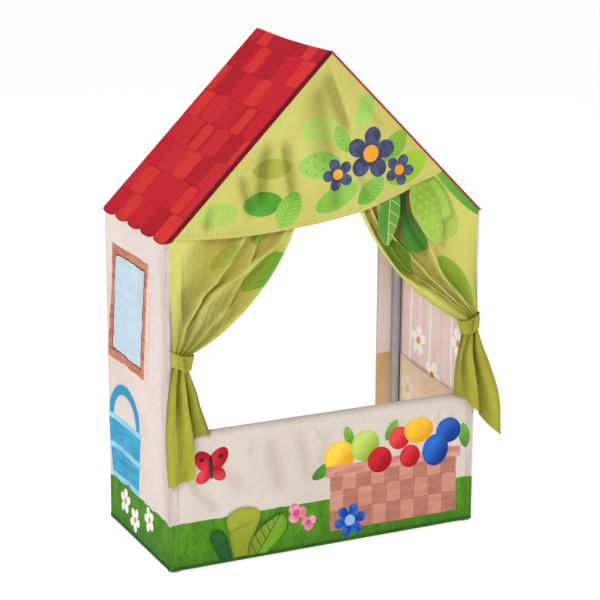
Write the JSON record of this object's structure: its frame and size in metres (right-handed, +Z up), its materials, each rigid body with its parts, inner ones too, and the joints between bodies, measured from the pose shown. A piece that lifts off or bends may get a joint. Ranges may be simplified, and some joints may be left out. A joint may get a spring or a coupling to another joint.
{
  "type": "puppet theater stand",
  "caption": "Freestanding cloth house on a plug-together tube frame, with an open stage window, tied-back curtains, loose cloth leaves and an open back for hand puppet play",
  "frame": {"origin": "The centre of the bounding box's underside, on the floor between the four feet.", "axes": "+Z is up, the stage faces -Y, and +X runs to the right of someone looking at the stage, along its width."},
  "size_m": [0.6696, 0.3248, 0.9069],
  "materials": {
    "tube_grey": "smooth grey painted tube",
    "moulded_grey": "moulded light grey plastic",
    "roof_red": "printed woven cloth, red rounded shingles",
    "binding_red": "dark red bias binding",
    "wall_cream": "printed woven cloth on an off-white ground",
    "hem_green": "dark green bias binding",
    "pediment_green": "printed woven cloth, yellow green with leaves",
    "curtain_green": "printed woven cloth, yellow green with leaves",
    "pocket_tan": "plain tan woven cloth",
    "leaf_bright": "padded bright green cloth, stitched veins",
    "leaf_dark": "padded dark green cloth, stitched veins",
    "leaf_light": "quilted light green cloth",
    "leaf_olive": "olive green cloth, stitched edge"
  },
  "bodies": {
    "house": {"front_left_upright": "tube_grey", "front_left_rafter": "tube_grey", "front_right_upright": "tube_grey", "front_right_rafter": "tube_grey", "front_bottom_tube": "tube_grey", "back_left_upright": "tube_grey", "back_left_rafter": "tube_grey", "back_right_upright": "tube_grey", "back_right_rafter": "tube_grey", "back_bottom_tube": "tube_grey", "left_bottom_tube": "tube_grey", "left_eave_tube": "tube_grey", "right_bottom_tube": "tube_grey", "right_eave_tube": "tube_grey", "ridge_tube": "tube_grey", "sill_tube": "tube_grey", "front_left_bottom_connector": "moulded_grey", "front_left_eave_connector": "moulded_grey", "front_right_bottom_connector": "moulded_grey", "front_right_eave_connector": "moulded_grey", "front_apex_connector": "moulded_grey", "back_left_bottom_connector": "moulded_grey", "back_left_eave_connector": "moulded_grey", "back_right_bottom_connector": "moulded_grey", "back_right_eave_connector": "moulded_grey", "back_apex_connector": "moulded_grey", "left_sill_tee": "moulded_grey", "right_sill_tee": "moulded_grey", "left_roof_slope": "roof_red", "left_gable_binding": "binding_red", "left_wall": "wall_cream", "left_back_flap": "wall_cream", "left_hem_binding": "hem_green", "left_curtain": "curtain_green", "left_tie_back": "curtain_green", "right_roof_slope": "roof_red", "right_gable_binding": "binding_red", "right_wall": "wall_cream", "right_back_flap": "wall_cream", "right_hem_binding": "hem_green", "right_curtain": "curtain_green", "right_tie_back": "curtain_green", "right_inner_pocket": "pocket_tan", "front_panel": "wall_cream", "front_hem_binding": "hem_green", "pediment": "pediment_green", "sewn_dark_leaf": "leaf_dark", "sewn_pocket_leaf": "leaf_olive", "sewn_veined_leaf": "leaf_bright"},
    "veined_leaf": {"veined_leaf": "leaf_bright"},
    "strap_leaf": {"strap_leaf": "leaf_dark"},
    "blunt_leaf": {"blunt_leaf": "leaf_light"},
    "quilted_leaf": {"quilted_leaf": "leaf_light"},
    "left_tie_tab": {"left_tie_tab": "curtain_green"},
    "right_tie_tab": {"right_tie_tab": "curtain_green"}
  },
  "joints": [
    {"name": "veined_leaf_lift", "type": "hinge", "parent": "house", "child": "veined_leaf", "pos_m": [0.09948, -0.14128, 0.63548], "axis": [-0.9447, 0, -0.328], "range_deg": [0, 95]},
    {"name": "strap_leaf_lift", "type": "hinge", "parent": "house", "child": "strap_leaf", "pos_m": [0.12677, -0.14128, 0.64519], "axis": [-0.9356, 0, -0.3532], "range_deg": [0, 95]},
    {"name": "blunt_leaf_lift", "type": "hinge", "parent": "house", "child": "blunt_leaf", "pos_m": [0.17847, -0.14128, 0.66556], "axis": [-0.9228, 0, -0.3854], "range_deg": [0, 90]},
    {"name": "quilted_leaf_lift", "type": "hinge", "parent": "house", "child": "quilted_leaf", "pos_m": [0.15285, -0.14358, 0.65827], "axis": [-0.9312, 0, -0.3645], "range_deg": [0, 90]},
    {"name": "left_tab_open", "type": "hinge", "parent": "house", "child": "left_tie_tab", "pos_m": [-0.29012, -0.16178, 0.392], "axis": [0, 0, 1], "range_deg": [0, 120]},
    {"name": "right_tab_open", "type": "hinge", "parent": "house", "child": "right_tie_tab", "pos_m": [0.25209, -0.16178, 0.392], "axis": [0, 0, -1], "range_deg": [0, 120]}
  ],
  "couplings": [
    {"joint": "blunt_leaf_lift", "follows": "quilted_leaf_lift", "ratio": 1}
  ]
}
